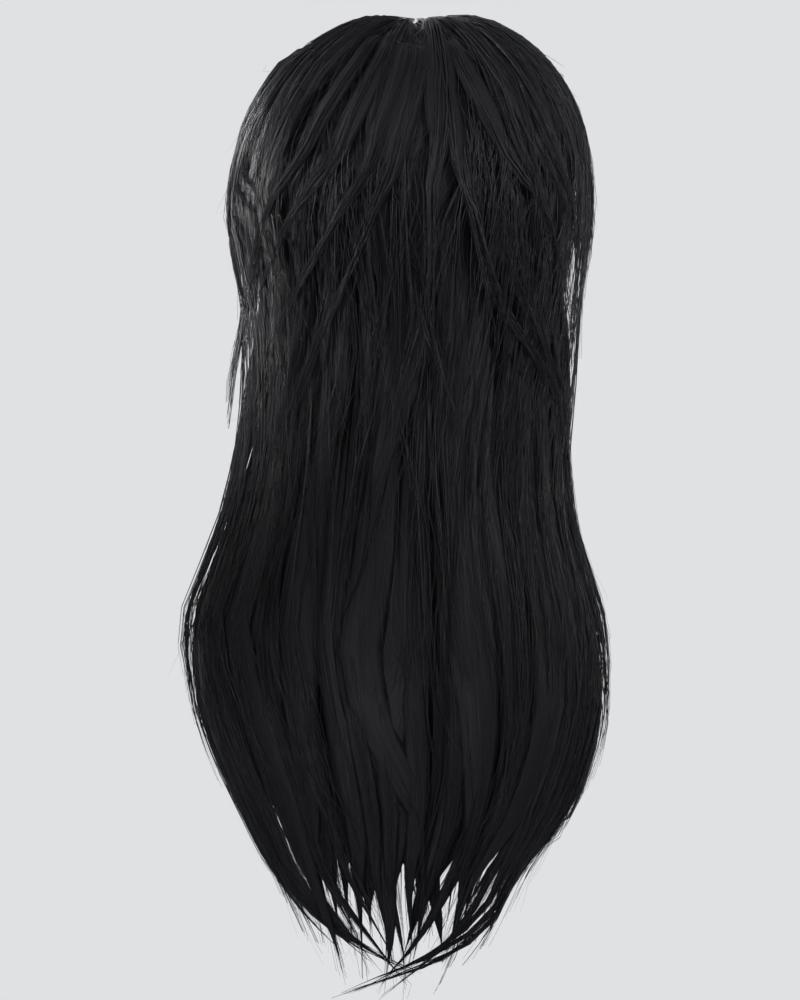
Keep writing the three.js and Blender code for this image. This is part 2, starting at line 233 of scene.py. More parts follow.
def layer_weight(layer, turn, fall):
    root, tip, half = (LAYERS[name][layer] for name in ("root", "tip", "half"))
    rise = 1 if root == 0 else smooth(root, root + ROOT_SWELL, fall)
    fade = smooth(0, TIP_FADE, tip + TIP_ROOM - fall)
    side = 1 if half == 1 else smooth(0, EDGE_FADE, half + EDGE_ROOM - np.abs(turn))
    return LAYERS["weight"][layer] * rise * fade * side


def layer_depth(layer, turn, fall, share):
    """Depth at a share of a layer's own thickness, 0 on its inside and 1 on its outside."""
    every = range(len(LAYER_NAMES))
    weights = [layer_weight(each, turn, fall) + np.zeros_like(fall) for each in every]
    whole = np.maximum(np.sum(weights, 0), 1e-6)
    under = np.sum(weights[:layer], 0) if layer else 0
    return (under + weights[layer] * share) / whole


print("Layers:", ", ".join(LAYER_NAMES))

# %% [markdown]
# ## Locks, tresses and strands
# Hair clumps at more than one size. A lock is two or three fingers wide and ends in a point,
# a tress in it is a few millimetres wide, and single strands lie on the tresses. One function
# traces all of them: a tress is a lock that keeps its place across its parent.

# %% Trace locks through the flow
# Waves are radians per unit of fall. Gather draws the low ends together and settle presses the
# hair onto the layers below. Locks with a low root have more of their steps near the tip. The
# columns say where a lock starts and ends, its half-width and depths and how it bends, then its
# place, length and width in its parent and where it starts to taper.
LONG_WAVE, SHORT_WAVE, LOWEST_FALL, GATHER, SETTLE = 8.5, 24.0, 2.015, 0.22, 0.89
LOW_ROOT, TIP_CROWDING, TIP_THINNING, BULGE, ROOT_DIVE = 0.7, 1.5, 0.93, 0.45, 0.12
COLUMNS = "turn root tip half inner outer sweep wave phase curl bend hook lift place reach slim taper"
PLAIN_LOCK = {"reach": 1.0, "slim": 1.0, "bend": 0.66}


def lock_batch(count, **values):
    """A batch of locks as named columns; a value that isn't given is plain or 0."""
    given = {**PLAIN_LOCK, **values}
    return {name: np.zeros(count) + given.get(name, 0.0) for name in COLUMNS.split()}


def trace(layer, batch, steps):
    """Centre, half-width vector and outward unit vector of each lock, each (locks, steps, 3)."""
    column = {name: values[:, None] for name, values in batch.items()}
    even = np.linspace(0, 1, steps)[None, :]
    crowded = np.where(column["root"] > LOW_ROOT, 1 - (1 - even) ** TIP_CROWDING, even)
    share = crowded * column["reach"]
    ending = smooth(column["taper"], 1, share)
    tip = np.clip((share - column["bend"]) / (1 - column["bend"]), 0, 1) ** 2
    fall = mix(column["root"], column["tip"], share) - column["hook"] * tip**1.5
    half = column["half"] * mix(0.8, 1, smooth(0, 0.2, share)) * (1 - TIP_THINNING * ending)
    turn = column["turn"] + column["sweep"] * smooth(0.15, 1, share)
    bends = np.sin(fall * LONG_WAVE + column["phase"])
    bends = bends + 0.5 * np.sin(fall * SHORT_WAVE + 2 * column["phase"])
    turn += column["wave"] * bends * smooth(0.5, 1.2, fall)
    turn += column["curl"] * tip + column["place"] * half
    turn = turn * (1 - GATHER * smooth(1.5, 2.0, fall))
    bulge = column["outer"] * (1 - BULGE * column["place"] ** 2 * (1 - ending))
    depth_share = mix(column["inner"], bulge, smooth(0, ROOT_DIVE, share))
    depth = layer_depth(layer, turn, fall, depth_share) * SETTLE
    centre = hair_point(turn, fall, depth)
    step = 0.004
    round_way = hair_point(turn + step, fall, depth) - hair_point(turn - step, fall, depth)
    round_way = round_way / (2 * step)
    fall_way = np.gradient(centre, axis=1)
    outward = unit(np.cross(fall_way, round_way))
    out_way = hair_point(turn, fall, depth + 0.05) - centre
    outward *= np.sign(np.sum(outward * out_way, -1, keepdims=True))
    centre = centre + outward * (column["lift"] * tip)[..., None]
    across = unit(np.cross(outward, unit(np.gradient(centre, axis=1))))
    width = half * column["slim"] * np.linalg.norm(round_way, axis=-1)
    return centre, across * width[..., None], outward, share


# %% Mesh helpers
def link_object(name, data):
    thing = bpy.data.objects.new(name, data)
    bpy.context.scene.collection.objects.link(thing)
    return thing


def new_mesh(name, points, faces):
    """A smooth mesh object from points and groups of equal-sided faces, given as arrays."""
    mesh = bpy.data.meshes.new(name)
    mesh.vertices.add(len(points))
    mesh.vertices.foreach_set("co", points.astype(np.float32).ravel())
    sizes = np.concatenate([np.full(len(group), group.shape[1]) for group in faces])
    corners = np.concatenate([group.ravel() for group in faces])
    starts = np.concatenate([[0], np.cumsum(sizes)[:-1]])
    mesh.loops.add(len(corners))
    mesh.loops.foreach_set("vertex_index", corners.astype(np.int32))
    mesh.polygons.add(len(sizes))
    mesh.polygons.foreach_set("loop_start", starts.astype(np.int32))
    mesh.polygons.foreach_set("loop_total", sizes.astype(np.int32))
    mesh.polygons.foreach_set("use_smooth", np.ones(len(sizes), bool))
    mesh.update(calc_edges=True)
    return link_object(name, mesh)


def edge_mesh(name, points, edges):
    """An object that has only points and edges, for a tree to grow on."""
    mesh = bpy.data.meshes.new(name)
    mesh.from_pydata(points.reshape(-1, 3).tolist(), edges.reshape(-1, 2).tolist(), [])
    return link_object(name, mesh)


def lens_bodies(centre, side, up, sides):
    """Closed bodies round centre lines: the points, the faces and the UV of each corner."""
    count, steps = centre.shape[:2]
    angle = np.arange(sides) / sides * 2 * math.pi
    ring = centre[:, :, None] + side[:, :, None] * np.cos(angle)[:, None]
    ring = ring + up[:, :, None] * np.sin(angle)[:, None]
    index = np.arange(count * steps * sides).reshape(count, steps, sides)
    turned = np.roll(index, -1, axis=2)
    quads = np.stack([index[:, :-1], index[:, 1:], turned[:, 1:], turned[:, :-1]], -1).reshape(-1, 4)
    caps = np.concatenate([index[:, 0], index[:, -1, ::-1]])
    along = np.linspace(0, 1, steps)
    strip = (np.arange(count)[:, None, None] + np.zeros((1, steps, 1))) / count
    low = strip + (np.arange(sides) / sides / count)[None, None]
    high = low + 1 / (sides * count)
    u = np.broadcast_to(along[None, :, None], low.shape)
    quad_u = np.stack([u[:, :-1], u[:, 1:], u[:, 1:], u[:, :-1]], -1)
    quad_v = np.stack([low[:, :-1], low[:, 1:], high[:, 1:], high[:, :-1]], -1)
    quad_uv = np.stack([quad_u, quad_v], -1).reshape(-1, 2)
    ends = np.stack([u[:, 0] + 0 * low[:, 0], low[:, 0]], -1), np.stack([u[:, -1], low[:, -1]], -1)
    cap_uv = np.concatenate([ends[0], ends[1][:, ::-1]]).reshape(-1, 2)
    return ring.reshape(-1, 3), [quads, caps], np.concatenate([quad_uv, cap_uv])


def join_bodies(bodies):
    """Points and faces of several sets of bodies as those of one mesh."""
    points, groups, start = [], [], 0
    for body_points, (quads, caps), _ in bodies:
        points.append(body_points)
        groups += [quads + start, caps + start]
        start += len(body_points)
    return np.concatenate(points), groups


def triangle_count(thing):
    thing.data.calc_loop_triangles()
    return len(thing.data.loop_triangles)


# %% [markdown]
# ## Strands with Geometry Nodes
# Thousands of strands repeat one rule: start on a tress, keep a place of your own across it,
# wander a little, and thin out to a point. That is work for Geometry Nodes. The guide lines
# carry two vectors, across the tress and out of it, and the tree copies each guide, moves the
# copies along those vectors, trims each to its own length and gives it a three-sided section.

# %% Node helper and strand tree
def add_node(tree, kind, inputs=None, **settings):
    """One node with its settings; an input is a value or another node's output."""
    node = tree.nodes.new(kind)
    for name, value in settings.items():
        setattr(node, name, value)
    for name, value in (inputs or {}).items():
        socket = node.inputs[name]
        if isinstance(value, bpy.types.NodeSocket):
            tree.links.new(value, socket)
        else:
            socket.default_value = value
    return node


def read_attribute(tree, name, kind="FLOAT"):
    node = add_node(tree, "GeometryNodeInputNamedAttribute", {"Name": name}, data_type=kind)
    return node.outputs["Attribute"]


def store(tree, geometry, name, value, domain, kind="FLOAT"):
    inputs = {"Geometry": geometry, "Name": name, "Value": value}
    settings = {"domain": domain, "data_type": kind}
    return add_node(tree, "GeometryNodeStoreNamedAttribute", inputs, **settings).outputs["Geometry"]


def calculate(tree, operation, *values):
    return add_node(tree, "ShaderNodeMath", dict(enumerate(values)), operation=operation).outputs[0]


def vector_maths(tree, operation, *values, scale=None):
    inputs = dict(enumerate(values))
    if scale is not None:
        inputs["Scale"] = scale
    return add_node(tree, "ShaderNodeVectorMath", inputs, operation=operation).outputs[0]


def new_tree(name, inputs):
    """A geometry tree with named inputs, and the sockets that give them."""
    tree = bpy.data.node_groups.new(name, "GeometryNodeTree")
    tree.interface.new_socket("Geometry", in_out="OUTPUT", socket_type="NodeSocketGeometry")
    for socket, kind in {"Geometry": "Geometry", **inputs}.items():
        tree.interface.new_socket(socket, in_out="INPUT", socket_type="NodeSocket" + kind)
    return tree, tree.nodes.new("NodeGroupInput").outputs


def end_tree(tree, body, material):
    """Smooth faces, real meshes and the material, then the tree's output."""
    body = add_node(tree, "GeometryNodeSetShadeSmooth", {"Geometry": body, "Shade Smooth": True})
    body = add_node(tree, "GeometryNodeRealizeInstances", {"Geometry": body.outputs[0]})
    body = add_node(tree, "GeometryNodeSetMaterial", {"Geometry": body.outputs[0], "Material": material})
    add_node(tree, "NodeGroupOutput", {"Geometry": body.outputs[0]})


def strand_tree():
    tree, given = new_tree(
        "Strands on tresses",
        {"Strands": "Int", "Radius": "Float", "Shortest": "Float", "Frizz": "Float", "Spread": "Float",
         "Seed": "Int", "Material": "Material"},
    )
    guides = add_node(tree, "GeometryNodeMeshToCurve", {"Mesh": given["Geometry"]}).outputs[0]
    copies = {"Geometry": guides, "Amount": given["Strands"]}
    copied = add_node(tree, "GeometryNodeDuplicateElements", copies, domain="SPLINE")
    geometry = copied.outputs["Geometry"]
    lowest = {"sideways": -1.0, "raised": -1.0, "tone": 0.0, "pick": 0.0}
    for order, (name, low) in enumerate(lowest.items()):
        seed = calculate(tree, "ADD", given["Seed"], float(order))
        chance = add_node(tree, "FunctionNodeRandomValue", {"Seed": seed})
        ends = {socket.name: socket for socket in chance.inputs if socket.enabled}
        ends["Min"].default_value, ends["Max"].default_value = low, 1.0
        values = [output for output in chance.outputs if output.enabled]
        geometry = store(tree, geometry, name, values[0], "CURVE")
    sideways, raised = read_attribute(tree, "sideways"), read_attribute(tree, "raised")
    along = add_node(tree, "GeometryNodeSplineParameter").outputs["Factor"]
    wide = calculate(tree, "MULTIPLY", sideways, given["Spread"])
    shift = vector_maths(tree, "SCALE", read_attribute(tree, "across", "FLOAT_VECTOR"), scale=wide)
    rise = vector_maths(tree, "SCALE", read_attribute(tree, "outward", "FLOAT_VECTOR"), scale=raised)
    pairs = (along, 4.0), (sideways, 31.0), (raised, 47.0)
    scaled = [calculate(tree, "MULTIPLY", *pair) for pair in pairs]
    spot = add_node(tree, "ShaderNodeCombineXYZ", dict(zip("XYZ", scaled))).outputs[0]
    noise = add_node(tree, "ShaderNodeTexNoise", {"Vector": spot, "Scale": 1.0, "Detail": 1.0})
    drift = vector_maths(tree, "SUBTRACT", noise.outputs["Color"], (0.5, 0.5, 0.5))
    growing = calculate(tree, "MULTIPLY_ADD", along, 1.0, 0.15)
    amount = calculate(tree, "MULTIPLY", given["Frizz"], growing)
    place = vector_maths(tree, "ADD", shift, rise)
    offset = vector_maths(tree, "ADD", place, vector_maths(tree, "SCALE", drift, scale=amount))
    moved = add_node(tree, "GeometryNodeSetPosition", {"Geometry": geometry, "Offset": offset})
    lengths = {"Value": read_attribute(tree, "pick"), "To Min": given["Shortest"], "To Max": 1.0}
    length = add_node(tree, "ShaderNodeMapRange", lengths).outputs[0]
    trim = add_node(tree, "GeometryNodeTrimCurve", {"Curve": moved.outputs[0]}, mode="FACTOR")
    ends = [socket for socket in trim.inputs if socket.name == "End" and socket.enabled]
    tree.links.new(length, ends[0])
    share = add_node(tree, "GeometryNodeSplineParameter").outputs["Factor"]
    thinning = {"Value": share, "From Min": 0.55, "From Max": 1.0, "To Min": 1.0, "To Max": 0.28}
    thin = add_node(tree, "ShaderNodeMapRange", thinning).outputs[0]
    radius = calculate(tree, "MULTIPLY", thin, given["Radius"])
    geometry = store(tree, trim.outputs[0], "fibre", share, "POINT")
    section = add_node(tree, "GeometryNodeCurvePrimitiveCircle", {"Resolution": 3}).outputs[0]
    count = add_node(tree, "GeometryNodeInputIndex").outputs[0]
    section = store(tree, section, "facet", calculate(tree, "DIVIDE", count, 3.0), "POINT")
    sweep = {"Curve": geometry, "Profile Curve": section, "Scale": radius, "Fill Caps": True}
    body = add_node(tree, "GeometryNodeCurveToMesh", sweep).outputs[0]
    row = calculate(tree, "MULTIPLY_ADD", read_attribute(tree, "tone"), 0.9, 0.01)
    row = calculate(tree, "MULTIPLY_ADD", read_attribute(tree, "facet"), 0.08, row)
    place = {"X": read_attribute(tree, "fibre"), "Y": row}
    flat = add_node(tree, "ShaderNodeCombineXYZ", place).outputs[0]
    end_tree(tree, store(tree, body, "OFBake", flat, "CORNER", "FLOAT2"), given["Material"])
    return tree


def guide_object(name, centre, side, up):
    """Guide lines as a mesh of edges, with the two vectors that the strands spread along."""
    count, steps = centre.shape[:2]
    index = np.arange(count * steps).reshape(count, steps)
    edges = np.stack([index[:, :-1], index[:, 1:]], -1).reshape(-1, 2)
    guides = edge_mesh(name, centre, edges)
    for key, vectors in (("across", side), ("outward", up)):
        attribute = guides.data.attributes.new(key, "FLOAT_VECTOR", "POINT")
        attribute.data.foreach_set("vector", vectors.astype(np.float32).ravel())
    return guides


def run_tree(thing, tree, **values):
    """Runs a tree on an object once and keeps the result as its plain mesh."""
    modifier = thing.modifiers.new("Grow", "NODES")
    modifier.node_group = tree
    for item in tree.interface.items_tree:
        if item.item_type == "SOCKET" and item.in_out == "INPUT" and item.name in values:
            modifier[item.identifier] = values[item.name]
    bpy.context.view_layer.update()
    shown = thing.evaluated_get(bpy.context.evaluated_depsgraph_get())
    grown = bpy.data.meshes.new_from_object(shown)
    thing.modifiers.remove(modifier)
    old, thing.data = thing.data, grown
    bpy.data.meshes.remove(old)
    grown.name = thing.name


strands = strand_tree()
print("Nodes in the strand tree:", len(strands.nodes))

# %% [markdown]
# ## Finishes
# Black wig fibre is never pure black: it is a very dark, slightly cool grey with a soft sheen
# that runs along each strand. Each strand gets a tone of its own, and the lightest tone is a
# painted highlight on single strands. The broad locks under the strands get fine streaks, as
# shallow bumps and as small changes of tone.

# %% Colours and hair materials
def linear(code):
    """An sRGB colour such as 1a1a1d as linear RGBA."""
    parts = [int(code[place : place + 2], 16) / 255 for place in (0, 2, 4)]
    return [((part + 0.055) / 1.055) ** 2.4 if part > 0.04 else part / 12.92 for part in parts] + [1]


# The lightest fibre tone is a painted highlight: single strands made lighter for light along them.
FIBRE_DARK, FIBRE_MIDDLE, FIBRE_LIGHT, FIBRE_PAINTED_HIGHLIGHT = "08080a", "0f0f12", "171619", "242326"


def new_material(name):
    material = bpy.data.materials.new(name)
    material.use_nodes = True
    material.node_tree.nodes.clear()
    return material, material.node_tree


def finish_material(tree, inputs, height=None, strength=0.0, distance=0.0):
    """The shader and the output, with a bump in metres where a height is given."""
    if height is not None:
        heights = {"Height": height, "Strength": strength, "Distance": distance}
        inputs = {**inputs, "Normal": add_node(tree, "ShaderNodeBump", heights).outputs[0]}
    shader = add_node(tree, "ShaderNodeBsdfPrincipled", inputs)
    add_node(tree, "ShaderNodeOutputMaterial", {"Surface": shader.outputs[0]})


def tone_ramp(tree, value, codes):
    ramp = add_node(tree, "ShaderNodeValToRGB", {"Fac": value})
    stops = ramp.color_ramp.elements
    while len(stops) < len(codes):
        stops.new(0.5)
    for order, code in enumerate(codes):
        stops[order].position = order / (len(codes) - 1)
        stops[order].color = linear(code)
    return ramp.outputs["Color"]


def strand_material():
    """Single fibres: a tone each, the lightest a painted highlight; a little lighter at the worn tips."""
    material, tree = new_material("Black heat-resistant fibre, single strands")
    tone = add_node(tree, "ShaderNodeAttribute", attribute_name="tone").outputs["Fac"]
    fibre = add_node(tree, "ShaderNodeAttribute", attribute_name="fibre").outputs["Fac"]
    value = calculate(tree, "MULTIPLY_ADD", fibre, 0.12, calculate(tree, "MULTIPLY", tone, 0.88))
    colour = tone_ramp(tree, value, [FIBRE_DARK, FIBRE_MIDDLE, FIBRE_MIDDLE, FIBRE_LIGHT, FIBRE_PAINTED_HIGHLIGHT])
    finish_material(tree, {"Base Color": colour, "Roughness": 0.38, "Specular IOR Level": 0.12})
    return material


STREAKS_ALONG, STREAKS_ACROSS = 7.0, 3600.0


def lock_material():
    """Broad locks: streaks run along the hair, and are far finer across it."""
    material, tree = new_material("Black heat-resistant fibre, combed locks")
    place = add_node(tree, "ShaderNodeUVMap", uv_map="OFBake").outputs[0]
    stretched = vector_maths(tree, "MULTIPLY", place, (STREAKS_ALONG, STREAKS_ACROSS, 1.0))
    detail = {"Vector": stretched, "Scale": 1.0, "Detail": 4.0, "Roughness": 0.62}
    streak = add_node(tree, "ShaderNodeTexNoise", detail).outputs["Fac"]
    colour = tone_ramp(tree, streak, [FIBRE_DARK, FIBRE_DARK, FIBRE_MIDDLE, FIBRE_LIGHT])
    finish_material(
        tree, {"Base Color": colour, "Roughness": 0.48, "Specular IOR Level": 0.08}, streak, 0.9, 0.0009
    )
    return material


strand_finish, lock_finish = strand_material(), lock_material()
print("Fibre tones:", FIBRE_DARK, FIBRE_MIDDLE, FIBRE_LIGHT)

# %% [markdown]
# ## Growing one node's hair
# Each CAD node of hair becomes two pieces: its locks with their tresses, and its strands. The
# locks could be one sheet, but a sheet shows no gaps and ends in a hem. Separate locks overlap
# at the root and part towards their tips, as hair does.

# %% Grow a layer
# What a layer of hair has unless its own row says otherwise, in turns, falls and metres
PLAIN_LAYER = {
    "side_lift": 0.0, "overlap": 0.85, "sweep": 0.02, "fan": 0.0, "wave": 0.016, "curl": 0.02,
    "lift": 0.005, "taper": 0.6, "strand_depth": 0.22, "radius": 0.00034, "shortest": 0.75,
    "frizz": 0.006,
}
# Sides of a body, then its flatness, least thickness in metres and width left at the tip
LOCK_SIDES, LOCK_SECTION = 8, (0.18, 0.0008, 0.25)
TRESS_SIDES, TRESS_SECTION = 3, (0.3, 0.0004, 0.08)
# Share of the lock's width that all tresses or strands together take, and their lengths
TRESS_WIDTH, TRESS_DEPTH, TRESS_REACH = 0.9, 0.12, (0.78, 1.0)
STRAND_WIDTH, STRAND_REACH, STRAND_RISE = 1.6, (0.82, 1.04), 0.0012


def grow_locks(rng, spec):
    """Locks side by side over a range of turns, each with a length and a bend of its own."""
    count = spec["locks"]
    low, high = spec["turns"]
    spacing = (high - low) / count
    turn = low + spacing * (np.arange(count) + 0.5) + rng.uniform(-0.25, 0.25, count) * spacing
    edge = np.abs(turn) / max(abs(low), abs(high))
    return lock_batch(
        count, turn=turn, root=spec["root"], half=spacing * spec["overlap"],
        tip=spec["tip"] - spec["ragged"] * rng.random(count) - spec["side_lift"] * edge**2,
        outer=rng.uniform(*spec["outer"], count),
        sweep=rng.normal(0, spec["sweep"], count) + spec["fan"] * turn,
        wave=rng.uniform(0.4, 1, count) * spec["wave"],
        phase=3 * np.sin(5 * turn) + rng.normal(0, 0.5, count),
        curl=rng.normal(0, spec["curl"], count),
        lift=rng.uniform(0, 1, count) * spec["lift"],
        taper=spec["taper"] + rng.uniform(-0.14, 0.14, count),
    )


def add_feature_locks(batch, rows):
    """Single locks that stand out, added to a batch from rows with named columns."""
    plain = {**PLAIN_LOCK, "outer": 1.0}
    for name in batch:
        values = [row.get(name, plain.get(name, 0.0)) for row in rows]
        batch[name] = np.concatenate([batch[name], values])
    return batch


def grow_tresses(rng, parents, per_lock, slim, out_step, reach):
    """Tresses in each lock: a place across it, a length and small bends of their own."""
    children = {name: np.repeat(values, per_lock) for name, values in parents.items()}
    count = len(children["turn"])
    evenly = np.tile((np.arange(per_lock) + 0.5) / per_lock * 2 - 1, len(parents["turn"]))
    children["place"] = np.clip(evenly + rng.uniform(-0.5, 0.5, count) / per_lock, -1, 1)
    longest = (LOWEST_FALL - children["root"]) / (children["tip"] - children["root"])
    children["reach"] = np.minimum(rng.uniform(*reach, count), longest)
    children["slim"] = np.full(count, slim / per_lock)
    children["outer"] = children["outer"] + rng.uniform(0.2, 1, count) * out_step
    children["phase"] = children["phase"] + rng.normal(0, 0.35, count)
    children["curl"] = children["curl"] + rng.normal(0, 0.015, count)
    children["sweep"] = children["sweep"] + rng.normal(0, 0.006, count)
    return children


def body_sections(trace_result, flatness, thinnest, tip_share):
    """Half-width and half-thickness vectors of lens-shaped bodies that end in points."""
    centre, side, outward, _ = trace_result
    along = np.linspace(0, 1, centre.shape[1])[None, :, None]
    ending = mix(1, tip_share, smooth(0.55, 1, along))
    half = np.linalg.norm(side, axis=-1, keepdims=True)
    thick = np.maximum(half * flatness, thinnest) * ending * mix(0.12, 1, smooth(0, 0.1, along))
    return centre, side * ending, outward * thick


def finish_piece(thing, node=None):
    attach(thing, "root")
    if node:
        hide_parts(node)
    print(f"{thing.name}: {triangle_count(thing)} triangles")


def grow_node(node, layer, spec, seed):
    """Two pieces for one node: the bodies of its locks and tresses, and its strands."""
    rng = np.random.default_rng(seed)
    spec = {**PLAIN_LAYER, **spec}
    locks = add_feature_locks(grow_locks(rng, spec), FEATURES.get(node, []))
    broad = body_sections(trace(layer, locks, spec["steps"]), *LOCK_SECTION)
    tresses = grow_tresses(rng, locks, spec["tresses"], TRESS_WIDTH, TRESS_DEPTH, TRESS_REACH)
    narrow = body_sections(trace(layer, tresses, spec["steps"] - 2), *TRESS_SECTION)
    bodies = [lens_bodies(*broad, LOCK_SIDES), lens_bodies(*narrow, TRESS_SIDES)]
    # The locks take the lower 0.35 of the UV square and the tresses the rest
    uv = np.concatenate([bodies[0][2] * (1, 0.35), bodies[1][2] * (1, 0.65) + (0, 0.35)])
    thing = new_mesh(f"{node}_locks", *join_bodies(bodies))
    layer_uv = thing.data.uv_layers.new(name="OFBake")
    layer_uv.data.foreach_set("uv", uv.astype(np.float32).ravel())
    thing.data.materials.append(lock_finish)
    finish_piece(thing, node)
    fine = grow_tresses(rng, locks, spec["tresses"], STRAND_WIDTH, spec["strand_depth"], STRAND_REACH)
    centre, side, outward, _ = trace(layer, fine, spec["strand_steps"])
    guides = guide_object(f"{node}_strands", centre, side, outward * STRAND_RISE)
    run_tree(
        guides, strands, Strands=spec["strands"], Radius=spec["radius"], Shortest=spec["shortest"],
        Frizz=spec["frizz"], Spread=1.0, Seed=seed, Material=strand_finish,
    )
    finish_piece(guides, node)


def lock_rows(names, rows, **shared):
    """Rows of numbers as dictionaries with the names of their columns, and shared values."""
    return [{**dict(zip(names.split(), row)), **shared} for row in rows]


# Single locks, in turns, falls and metres: the large sweeps and curls, and more hair at the two
# side edges, where the ends of the layers would leave slits. A turn above 0 is on the left.
FEATURES = {}
FEATURES["crown_hair"] = lock_rows("turn root tip half sweep curl", [
    # Sweeps to the left, then to the right
    (0.03, 0.3, 1.18, 0.034, 0.08, 0.38),
    (0.1, 0.3, 1.13, 0.032, 0.1, 0.34),
    (0, 0.3, 1.22, 0.026, 0.06, 0.28),
    (0.18, 0.3, 1.1, 0.03, 0.12, 0.24),
    (-0.06, 0.3, 1.16, 0.026, -0.04, -0.16),
    (-0.12, 0.3, 1.08, 0.034, -0.12, -0.22),
    (-0.2, 0.2, 1.06, 0.034, -0.14, -0.18),
    (-0.28, 0.2, 1.08, 0.032, -0.12, -0.14),
    (0.34, 0.4, 1.16, 0.022, 0.1, -0.16),
], lift=0.003, taper=0.5)
FEATURES["side_hair_left"] = lock_rows("turn tip sweep curl hook", [
    (0.48, 1, 0.1, -0.22, 0.02),
    (0.54, 1.05, 0.1, -0.28, 0.03),
    (0.6, 1.1, 0.08, -0.3, 0.03),
    (0.66, 1.15, 0.06, -0.28, 0.03),
    (0.72, 1.2, 0.04, -0.24, 0.02),
    (0.52, 1.22, 0.08, -0.14, 0),
], root=0.4, half=0.018, outer=1.1, taper=0.55)
FEATURES["weft_upper"] = lock_rows("turn tip half sweep curl lift", [
    # Sweeps to the right, then to the left
    (-0.08, 1.27, 0.03, -0.12, -0.5, 0.003),
    (-0.14, 1.26, 0.03, -0.14, -0.42, 0.003),
    (-0.2, 1.29, 0.032, -0.16, -0.34, 0.003),
    (-0.28, 1.3, 0.034, -0.18, -0.22, 0.003),
    (-0.36, 1.28, 0.032, -0.18, -0.14, 0.003),
    (-0.02, 1.3, 0.024, 0.02, -0.2, 0.003),
    (0.12, 1.3, 0.026, 0.12, 0.22, 0.003),
    (0.24, 1.34, 0.028, 0.1, 0.16, 0.003),
    (0.36, 1.28, 0.026, 0.1, -0.14, 0.002),
    # The flick at the left
    (0.72, 1.25, 0.024, 0.04, 0.08, 0.006),
    (0.66, 1.27, 0.022, 0.04, 0.12, 0.005),
    (0.76, 1.22, 0.02, 0.02, 0.08, 0.005),
], root=0.6, outer=1.2, taper=0.5)
EDGE_LOCKS = (0.8, 1.44, 0.3), (0.86, 1.46, 0.6), (0.91, 1.42, 0.15)
FEATURES["weft_upper"] += lock_rows("turn tip outer", [
    (side * turn, tip, outer) for side in (1, -1) for turn, tip, outer in EDGE_LOCKS
], root=0.6, sweep=0, half=0.042, taper=0.65)
FEATURES["weft_middle"] = lock_rows("turn tip outer sweep", [
    (0.94, 1.44, 0.2, -0.02),
    (0.9, 1.52, 0.5, -0.02),
    (0.85, 1.56, 0.8, -0.02),
    (-0.94, 1.42, 0.2, 0.02),
    (-0.9, 1.5, 0.5, 0.02),
    (-0.86, 1.56, 0.8, 0.02),
    (-0.82, 1.52, 0.4, 0.02),
], root=0.55, half=0.032, taper=0.6)
FEATURES["weft_back"] = lock_rows("turn tip outer sweep", [
    (0.93, 1.72, 0.95, -0.02),
    (0.88, 1.8, 0.75, -0.02),
    (-0.93, 1.72, 0.95, 0.02),
    (-0.88, 1.8, 0.75, 0.02),
], root=0.8, bend=0.8, half=0.034, taper=0.7)
FEATURES["weft_back"] += lock_rows("turn tip half sweep curl bend hook taper", [
    # The base, where most locks curl in to a rim
    (-0.03, 1.97, 0.03, 0, -0.06, 0.8, 0, 0.78),
    (0.14, 1.98, 0.03, -0.04, -0.1, 0.8, 0, 0.78),
    (0.82, 1.94, 0.04, 0, -0.34, 0.86, 0.01, 0.9),
    (0.76, 1.965, 0.04, 0, -0.72, 0.84, 0.02, 0.9),
    (0.68, 1.955, 0.04, 0, -0.48, 0.84, 0.01, 0.9),
    (0.62, 1.98, 0.04, 0, -0.76, 0.82, 0.02, 0.9),
    (0.5, 1.96, 0.028, 0.04, -0.44, 0.82, 0, 0.9),
    (0.4, 1.975, 0.028, 0, -0.5, 0.8, 0, 0.9),
    (0.24, 1.95, 0.026, 0.06, -0.3, 0.78, 0, 0.78),
    (0.06, 1.985, 0.028, -0.02, -0.12, 0.8, 0, 0.78),
    (-0.12, 1.95, 0.028, -0.04, 0.1, 0.8, 0, 0.78),
    (-0.24, 1.985, 0.03, -0.02, 0.42, 0.8, 0, 0.9),
    (-0.38, 1.955, 0.03, 0, -0.08, 0.8, 0, 0.78),
    (-0.48, 1.99, 0.032, -0.02, 0.62, 0.84, 0, 0.9),
    (-0.56, 1.985, 0.038, -0.04, 0.98, 0.85, 0, 0.9),
    (-0.64, 1.992, 0.038, -0.04, 1.36, 0.86, 0, 0.9),
    (-0.7, 2.005, 0.038, -0.02, 1.72, 0.87, 0, 0.9),
    (-0.78, 1.955, 0.038, 0.02, 0.12, 0.84, 0, 0.78),
    (-0.84, 1.9, 0.028, 0.02, 0.2, 0.84, 0, 0.78),
    (0.86, 1.93, 0.036, 0, -0.62, 0.86, 0.02, 0.9),
    (0.72, 1.97, 0.036, 0, -0.92, 0.84, 0.01, 0.9),
], root=1.1, outer=0.85)
